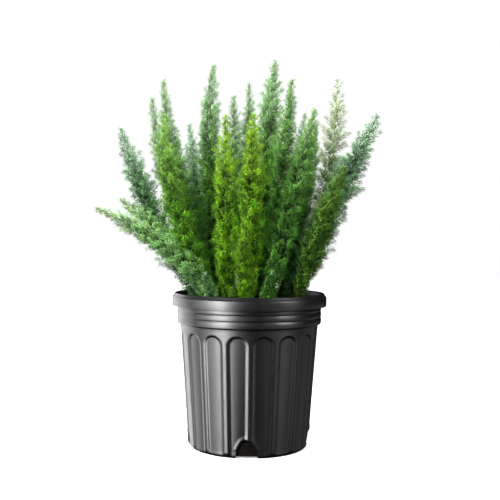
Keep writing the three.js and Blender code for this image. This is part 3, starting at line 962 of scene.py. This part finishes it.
SHOOTS = [
    ((-26, -82), (-27, -97, 263), 0, 12, "lime"),
    ((-8, -76), (9, -96, 292), 0, 13, "lime"),
    ((14, -82), (35, -97, 289), 0, 13, "leaf"),
    ((-56, -72), (-68, -94, 286), 0, 14, "blue"),
    ((74, 22), (86, 30, 270), 0, 12, "leaf"),
    ((30, 92), (42, 101, 284), 0, 13, "leaf"),
    ((-44, 84), (-56, 94, 280), 0, 13, "lime"),
]
print(len(PLUMES), "plumes and", len(SHOOTS), "young shoots")

# %% [markdown]
# A stem is a plain curve with three control points, straight below the soil. It stays in one
# upright plane, so a frame to grow things from is simple: the way the stem runs, the horizontal
# across its plane, and the direction square to both.

# %% The curve of a stem
ROOT_DEPTH = 12
CURVE_STEPS = 240


def stem_curve(foot, tip, bow):
    """Distances along a stem from the soil, the points at them, and the horizontal across it."""
    start, end = np.array([*foot, SOIL_LEVEL], float), np.array(tip, float)
    lean = (end - start) * (1, 1, 0)
    lean /= np.linalg.norm(lean)
    middle = (start + end) / 2 + 2 * bow * lean
    share = np.linspace(0, 1, CURVE_STEPS + 1)[:, None]
    line = (1 - share) ** 2 * start + 2 * share * (1 - share) * middle + share**2 * end
    downwards = (start - middle) / np.linalg.norm(start - middle)
    line = np.vstack([start + downwards * ROOT_DEPTH, line])
    along = np.append(0, np.cumsum(np.linalg.norm(np.diff(line, axis=0), axis=1)))
    return along - ROOT_DEPTH, line, np.cross(lean, (0, 0, 1))


def point_on(curve, along):
    distances, line, _ = curve
    return np.stack([np.interp(along, distances, line[:, axis]) for axis in range(3)], axis=1)


def frame_on(curve, along):
    """At some distances along a stem: the points, the way it runs, and the way it faces."""
    ahead = point_on(curve, along + 1.0) - point_on(curve, along - 1.0)
    ahead /= np.linalg.norm(ahead, axis=1, keepdims=True)
    return point_on(curve, along), ahead, np.cross(curve[2], ahead)


print("the longest stem is", round(max(stem_curve(*plume[:3])[0][-1] for plume in PLUMES)), "mm")

# %% [markdown]
# The stem itself is a ring of six corners, extruded forty times, one step at a time. It is modelled
# once as a straight rod one unit long. Each plume gets a copy whose points are laid along its own
# curve, and narrowed from the crown to the tip.

# %% Stem
STEM_SIDES, STEM_STEPS = 6, 40
STEM_FOOT_RADIUS, STEM_TIP_RADIUS = 2.6, 0.8
STEM_TAPER = 0.7  # under one, so that it narrows most near the foot
STEM_SHORT = 1.5  # how far it stops short of its curve's end
SLIM_GIRTH = 16  # a spray slimmer than this has a thinner stem

bpy.ops.mesh.primitive_circle_add(vertices=STEM_SIDES, radius=1, fill_type="NGON")
rod = bpy.context.active_object
bpy.ops.object.mode_set(mode="EDIT")
for _ in range(STEM_STEPS):
    bpy.ops.mesh.extrude_region_move(TRANSFORM_OT_translate={"value": (0, 0, 1 / STEM_STEPS)})
bpy.ops.mesh.select_all(action="SELECT")
bpy.ops.mesh.normals_make_consistent(inside=False)
bpy.ops.object.mode_set(mode="OBJECT")
bpy.ops.object.shade_smooth_by_angle(angle=math.radians(65))
rod_points = point_array(rod)


def laid_stem(curve, girth):
    """A copy of the rod, laid along a stem's curve."""
    top = curve[0][-1] - STEM_SHORT
    share = rod_points[:, 2]
    along = -ROOT_DEPTH + share * (top + ROOT_DEPTH)
    centre, _, facing = frame_on(curve, along)
    radius = STEM_FOOT_RADIUS + (STEM_TIP_RADIUS - STEM_FOOT_RADIUS) * share**STEM_TAPER
    radius *= min(1.0, girth / SLIM_GIRTH)
    spread = rod_points[:, :1] * facing + rod_points[:, 1:2] * curve[2]
    stem = rod.copy()
    stem.data = rod.data.copy()
    bpy.context.collection.objects.link(stem)
    stem.data.vertices.foreach_set("co", ((centre + spread * radius[:, None]) * MM).ravel())
    return stem


print("a stem has", len(rod.data.polygons), "faces")

# %% [markdown]
# ## The spray round a stem
# Side shoots leave the stem in a spiral, a golden angle apart, as leaves do on most plants, so
# no two stand in line. Each sets out almost square to the stem, curves up towards its end, and
# carries rings of needles, the inner ones larger and further apart. The spray is slim at the
# crown, full in the middle and tapers to its tip, so each shoot's length comes from the spray's
# half width where it grows, with a little chance. The chance is drawn from a seeded generator,
# so every run grows the same.

# %% Shape of a spray
GOLDEN_ANGLE = math.pi * (3 - math.sqrt(5))
TIP_WIDTH = 5.5  # half width of the spray at its tip
SHOULDER, SHOULDER_SHARE = 120, 0.75  # how far it fills out below the tip, and how far at most
SKIRT, SKIRT_SHARE = 60, 0.6  # length over which the foot fills out, and its share at the start
FULL_WIDTH = 18  # half width at which rings have their full size
RING_STEP = 2.9  # between the outer rings of a side shoot
INNER_STEP, INNER_SIZE = 4.6, 1.25  # the rings within them are larger and further apart
OUTER_RINGS = 3
NEEDLE_REACH = 4.6  # how far a full ring's needles stand beyond the twig's own end
SHOOT_STEP = 1.4  # between side shoots, where the spray is full
TOP_THINNING = 0.8  # how much further apart they are at the tip
TOP_START = 0.65  # share of the stem's length at which that begins
LAST_SHOOT = 4  # distance from the tip within which no side shoot is added
SHORT_LENGTH = 260  # a stem shorter than this has no pale top


def half_width(curve, along, girth, bare):
    """How far the spray reaches from the stem, at some distances along it."""
    length = curve[0][-1]
    shoulder = min(SHOULDER, SHOULDER_SHARE * length)
    from_shoulder = np.clip(1 - (length - along) / shoulder, 0, 1)
    width = TIP_WIDTH + (girth - TIP_WIDTH) * (1 - from_shoulder**2)
    return width * (SKIRT_SHARE + (1 - SKIRT_SHARE) * smoothstep((along - bare) / SKIRT))


def shoot_places(length, bare, thinning):
    """Distances along the stem at which side shoots leave it, further apart near the tip."""
    places = [bare]
    while places[-1] < length - LAST_SHOOT:
        near_tip = float(smoothstep((places[-1] / length - TOP_START) / (1 - TOP_START)))
        places.append(places[-1] + SHOOT_STEP * thinning * (1 + TOP_THINNING * near_tip))
    return np.array(places)


# %% Rings of a spray
MOST_RINGS = 7
RING_SIZES = (0.62, 1.05)  # of a full ring, in the slimmest and in the widest part of a spray
RING_AT_STEM, RING_SHRINK = 1.02, 0.14  # its size at the stem, and the loss along a side shoot
RING_CLEARANCE = 0.8  # a ring nearer the stem than this is left out
LEAN_LOW, LEAN_HIGH = math.radians(72), math.radians(48)  # from the stem, at the crown and tip
LEAN_RUN = 100  # length below the tip over which the first turns into the second
CURL = math.radians(26)  # how much a side shoot turns up along its length
OUTWARD_SHARE = 0.84  # of a side shoot's length, how much carries it away from the stem
SHORTEST_RUN = 0.6
LUMPS = 0.08  # how uneven the spray's outline is
LUMP_STEPS = (8, 17)
TINT_WAVE, TINT_STEP = 0.16, 21  # side shoots grow fresher and duller by turns up the stem
BEARING_CHANCE, LEAN_CHANCE, RING_LEAN_CHANCE = 0.22, 0.09, 0.08
TINT_CHANCE, RING_TINT_CHANCE = 0.28, 0.2
REACH_CHANCE, SIZE_CHANCE = (0.84, 1.20), (0.86, 1.14)


def spray_rings(curve, girth, bare, thinning, chance):
    """Where each ring of needles of one spray goes, how it is turned, and what is marked on it."""
    length = curve[0][-1]
    along = shoot_places(length, bare, thinning)
    count = len(along)
    width = half_width(curve, along, girth, bare)
    scale = np.clip(width / FULL_WIDTH, *RING_SIZES)
    bearing = np.arange(count) * GOLDEN_ANGLE + chance.normal(0, BEARING_CHANCE, count)
    phase = chance.uniform(0, 2 * math.pi, 3)
    lumps = np.sin(along / LUMP_STEPS[0] + phase[0] + bearing)
    lumps += np.sin(along / LUMP_STEPS[1] + phase[1] - 2 * bearing)
    reach = width * (1 + LUMPS * lumps) * chance.uniform(*REACH_CHANCE, count)
    run = np.maximum((reach - NEEDLE_REACH * scale) / OUTWARD_SHARE, SHORTEST_RUN)
    near_tip = smoothstep((along - length + LEAN_RUN) / LEAN_RUN)
    lean = LEAN_LOW + (LEAN_HIGH - LEAN_LOW) * near_tip + chance.normal(0, LEAN_CHANCE, count)
    centre, ahead, facing = frame_on(curve, along)
    outwards = np.cos(bearing)[:, None] * facing + np.sin(bearing)[:, None] * curve[2]
    wave = 0.5 + TINT_WAVE * np.sin(along / TINT_STEP + phase[2])
    tint = np.clip(wave + chance.normal(0, TINT_CHANCE, count), 0, 1)
    rings = {name: [] for name in ("place", "axis", "size", "outward", "fresh", "along")}
    for number in range(MOST_RINGS):
        inner = max(0, number - OUTER_RINGS + 1)
        from_end = ((number - inner) * RING_STEP + inner * INNER_STEP) * scale
        grown = (from_end < run - RING_CLEARANCE) | (number == 0)
        share = ((run - from_end) / run)[grown]
        angle = lean[grown] - CURL * share
        out = run[grown] * (np.cos(lean[grown]) - np.cos(angle)) / -CURL
        up = run[grown] * (np.sin(angle) - np.sin(lean[grown])) / -CURL
        ring_axis = np.sin(angle)[:, None] * outwards[grown] + np.cos(angle)[:, None] * ahead[grown]
        ring_axis += chance.normal(0, RING_LEAN_CHANCE, ring_axis.shape)
        rings["axis"].append(ring_axis / np.linalg.norm(ring_axis, axis=1, keepdims=True))
        away = out[:, None] * outwards[grown] + up[:, None] * ahead[grown]
        rings["place"].append(centre[grown] + away)
        size = scale[grown] * (INNER_SIZE if inner else 1.0) * (RING_AT_STEM - RING_SHRINK * share)
        rings["size"].append(size * chance.uniform(*SIZE_CHANCE, len(share)))
        rings["outward"].append(out / np.maximum(width[grown] - NEEDLE_REACH * scale[grown], 2))
        fresh = tint[grown] + chance.normal(0, RING_TINT_CHANCE, len(share))
        rings["fresh"].append(np.clip(fresh, 0, 1))
        rings["along"].append(along[grown] / max(length, SHORT_LENGTH))
    return {name: np.concatenate(values) for name, values in rings.items()}


# %% [markdown]
# The rings of a spray are dealt out among the three models of a ring, and the bud goes on the
# stem's end. What is marked on each point goes with it: how far out from the stem it is, how far up
# the plume, how far along its own needle, and how fresh its side shoot is. The leaf colour
# is mixed from these, so no texture has to be painted.

# %% Grow one plume
BUD_PLACES = (-5.0, -1.8)  # from the tip of the stem
BUD_SIZE, BUD_FRESHNESS = 0.72, 0.8


def grow_spray(name, curve, girth, bare, thinning, chance):
    """The rings and the bud of one stem, in one mesh."""
    rings = spray_rings(curve, girth, bare, thinning, chance)
    deal = chance.integers(0, len(RINGS), len(rings["size"]))
    batches = []

    def add(shape, places, axes, sizes, values):
        turns = turned_to(axes, chance.uniform(0, 2 * math.pi, len(places)))
        marks = {title: np.repeat(value, len(shape[0])) for title, value in values.items()}
        end = np.linalg.norm(shape[0], axis=1) / (NEEDLE_LENGTH * MM)
        marks["needle_end"] = np.tile(np.clip(end, 0, 1), len(places))
        batches.append((*set_down(shape, turns, sizes, places * MM), marks))

    for number, shape in enumerate(RINGS):
        mine = deal == number
        values = {title: rings[title][mine] for title in ("outward", "fresh", "along")}
        add(shape, rings["place"][mine], rings["axis"][mine], rings["size"][mine], values)
    tip = curve[0][-1] + np.array(BUD_PLACES)
    centre, ahead, _ = frame_on(curve, tip)
    bud = np.ones(len(tip))
    values = {"outward": bud, "fresh": BUD_FRESHNESS * bud, "along": bud}
    add(BUD, centre, ahead, BUD_SIZE * bud, values)
    return mesh_from(name, batches)


# %% [markdown]
# ## Leaf colour
# The plumes of one plant differ: young ones are lime, the rest mid green, and old ones a bluer
# green, so eight tones are mixed for them. All share one rule, so it is a node group. Inside the
# spray the needles are painted dark, as painted shade, and further out they take the leaf colour.
# Fresher side shoots are lighter, needle ends are paler as a painted highlight, and the outer
# needles of a plume's top are palest, as painted light. Painting each plume by hand would look the
# same, and would be lost if a plume grew anew.

# %% Node group: leaf tone
# the first part is painted shade inside the spray, the fourth a painted highlight on needle ends,
# the last painted light on the outer needles of a plume's top
NEEDLE_PARTS = ("Painted Shade", "Leaf", "Fresh", "End", "Top")

leaf_tone, given, result = new_group(
    "leaf tone",
    [(part, "Color") for part in NEEDLE_PARTS],
    [("Color", "Color"), ("Roughness", "Float")],
)
outward, freshness, up_plume, needle_end = (
    add_node(leaf_tone, "Attribute", attribute_name=name)
    for name in ("outward", "fresh", "along", "needle_end")
)
# how far out a needle stands, with its side shoot's freshness, gives light_share; where it is low
# the needle keeps the dark painted shade of the spray's inside
depth = add_node(leaf_tone, "Math", {1: 0.4}, operation="MULTIPLY_ADD")
fresh_and_lit = add_node(leaf_tone, "Math", {1: 0.6}, operation="MULTIPLY_ADD")
light_share = add_range(leaf_tone, 0.70, 1.42)
fresh_share = add_range(leaf_tone, 0.45, 1.0, 0.0, 0.85)
# painted highlight: needle ends are made paler, and less so low on the plume
highlight_share = add_range(leaf_tone, 0.40, 1.0, 0.0, 0.85)
high_up = add_range(leaf_tone, 0.35, 1.0, 0.5, 1.0)
highlight_share_high = add_product(leaf_tone)
# painted light: the outer needles of a plume's top are made palest
top_share = add_range(leaf_tone, 0.55, 1.0, 0.0, 0.95)
top_light = add_range(leaf_tone, 0.0, 1.0, 0.5, 1.0)
lit_top_share = add_product(leaf_tone)
from_painted_shade, to_fresh, to_painted_highlight, to_lit_top = (add_mix(leaf_tone) for _ in range(4))
gloss = add_range(leaf_tone, 0.0, 1.0, 0.62, 0.42)
join(
    leaf_tone,
    (needle_end, "Fac", depth, 0),
    (outward, "Fac", depth, 2),
    (freshness, "Fac", fresh_and_lit, 0),
    (depth, 0, fresh_and_lit, 2),
    (fresh_and_lit, 0, light_share, "Value"),
    (freshness, "Fac", fresh_share, "Value"),
    (needle_end, "Fac", highlight_share, "Value"),
    (up_plume, "Fac", high_up, "Value"),
    (highlight_share, 0, highlight_share_high, 0),
    (high_up, 0, highlight_share_high, 1),
    (up_plume, "Fac", top_share, "Value"),
    (light_share, 0, top_light, "Value"),
    (top_share, 0, lit_top_share, 0),
    (top_light, 0, lit_top_share, 1),
    (freshness, "Fac", gloss, "Value"),
    (gloss, 0, result, "Roughness"),
    (given, "Painted Shade", from_painted_shade, "A"),
    (to_lit_top, "Result", result, "Color"),
)
LAYERS = [  # each lays its own part over what comes before it, by its share
    (from_painted_shade, light_share, "Leaf"),
    (to_fresh, fresh_share, "Fresh"),
    (to_painted_highlight, highlight_share_high, "End"),
    (to_lit_top, lit_top_share, "Top"),
]
for mix, share, part in LAYERS:
    join(leaf_tone, (share, 0, mix, "Factor"), (given, part, mix, "B"))
for (before, *_), (after, *_) in zip(LAYERS, LAYERS[1:]):
    join(leaf_tone, (before, "Result", after, "A"))
print("leaf tone takes", [socket.name for socket in given.outputs if socket.name])


# %% Materials: needles and stems
def linear(red, green, blue):
    """A colour given in steps of 0 to 255, in the linear values that shaders use."""
    shares = [value / 255 for value in (red, green, blue)]
    return (*[s / 12.92 if s <= 0.04045 else ((s + 0.055) / 1.055) ** 2.4 for s in shares], 1)


# of each tone's five colours the first is painted shade, the fourth a painted highlight and the
# last painted light
LEAF_COLOURS = {  # in the order of NEEDLE_PARTS
    "blue": [(26, 54, 32), (86, 156, 72), (122, 190, 102), (180, 226, 172), (194, 228, 196)],
    "forest": [(34, 64, 34), (80, 150, 40), (112, 184, 62), (160, 212, 124), (158, 210, 122)],
    "fresh": [(64, 120, 56), (160, 232, 118), (190, 240, 148), (206, 242, 184), (190, 228, 158)],
    "spring": [(28, 66, 12), (94, 172, 22), (128, 202, 42), (168, 216, 100), (174, 220, 116)],
    "leaf": [(26, 58, 18), (82, 158, 34), (116, 190, 52), (168, 214, 124), (194, 228, 182)],
    "lime": [(34, 80, 2), (106, 184, 14), (144, 212, 28), (186, 226, 84), (186, 230, 70)],
    "olive": [(52, 84, 30), (62, 110, 24), (92, 140, 36), (136, 176, 76), (120, 162, 56)],
    "pale": [(124, 162, 90), (180, 214, 138), (208, 232, 174), (236, 244, 220), (240, 246, 224)],
}
STEM_COLOURS = {  # at its foot, and higher up
    "blue": [(70, 96, 48), (120, 156, 84)],
    "forest": [(72, 100, 44), (124, 162, 76)],
    "fresh": [(82, 106, 46), (136, 172, 84)],
    "spring": [(80, 106, 40), (132, 172, 66)],
    "leaf": [(76, 104, 40), (128, 168, 70)],
    "lime": [(98, 132, 36), (158, 202, 64)],
    "olive": [(84, 92, 40), (126, 150, 66)],
    "pale": [(112, 140, 84), (176, 204, 140)],
}
STEM_DARKENING = 90  # length over which a stem turns from its foot's colour to the other


def needle_material(tone):
    material, tree, shader = new_material(f"{tone} needles", Specular_IOR_Level=0.08)
    colours = {part: linear(*rgb) for part, rgb in zip(NEEDLE_PARTS, LEAF_COLOURS[tone])}
    mixed = add_node(tree, "Group", colours, node_tree=leaf_tone)
    join(
        tree, (mixed, "Color", shader, "Base Color"), (mixed, "Roughness", shader, "Roughness")
    )
    return material


def stem_material(tone):
    """Green bark, darker towards the soil, with fine upright ribs."""
    material, tree, shader = new_material(f"{tone} stem", Roughness=0.55, Specular_IOR_Level=0.06)
    low, high = (linear(*rgb) for rgb in STEM_COLOURS[tone])
    place = add_node(tree, "TexCoord")
    parts = add_node(tree, "SeparateXYZ")
    height = add_range(tree, SOIL_LEVEL * MM, (SOIL_LEVEL + STEM_DARKENING) * MM)
    green = add_mix(tree, A=low, B=high)
    join(
        tree,
        (place, "Object", parts, 0),
        (parts, "Z", height, "Value"),
        (height, 0, green, "Factor"),
        (green, "Result", shader, "Base Color"),
    )
    add_bump(tree, shader, add_noise(tree, 1.0, 2.0, stretch=(1600.0, 1600.0, 60.0)), 0.4, 0.0003)
    return material


NEEDLE_MATERIALS = {tone: needle_material(tone) for tone in LEAF_COLOURS}
STEM_MATERIALS = {tone: stem_material(tone) for tone in STEM_COLOURS}
print("leaf colours:", ", ".join(LEAF_COLOURS))

# %% [markdown]
# ## Growing the plant
# Each plume is its spray and its stem, joined in one piece. It takes the place of the plain plume
# of the same number in the frame, and rides on the same body.

# %% Grow every plume and young shoot
PLUME_BARE_FOOT, SHOOT_BARE_FOOT = 22, 5  # bare stem over the soil
THINNING = {"pale": 1.7}  # some plumes are not so full as the rest


def grow(kind, number, row, bare):
    """Grows one plume or shoot in place of its plain node, and counts its faces."""
    foot, tip, bow, girth, tone = row
    node = f"{kind}_{number:02d}"
    curve = stem_curve(foot, tip, bow)
    chance = np.random.default_rng(100 * len(kind) + number)
    thinning = THINNING.get(tone, 1.0)
    spray = grow_spray(f"fine_{node}", curve, girth, bare, thinning, chance)
    stem = laid_stem(curve, girth)
    spray.data.materials.append(NEEDLE_MATERIALS[tone])
    stem.data.materials.append(STEM_MATERIALS[tone])
    only(spray)
    stem.select_set(True)
    bpy.ops.object.join()
    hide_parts(node)
    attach(spray, "root")
    return len(spray.data.polygons)


leaf_faces = 0
for number, row in enumerate(PLUMES, start=1):
    leaf_faces += grow("plume", number, row, PLUME_BARE_FOOT)
for number, row in enumerate(SHOOTS, start=1):
    leaf_faces += grow("shoot", number, row, SHOOT_BARE_FOOT)
bpy.data.objects.remove(rod)
print("the foliage has", leaf_faces, "faces")
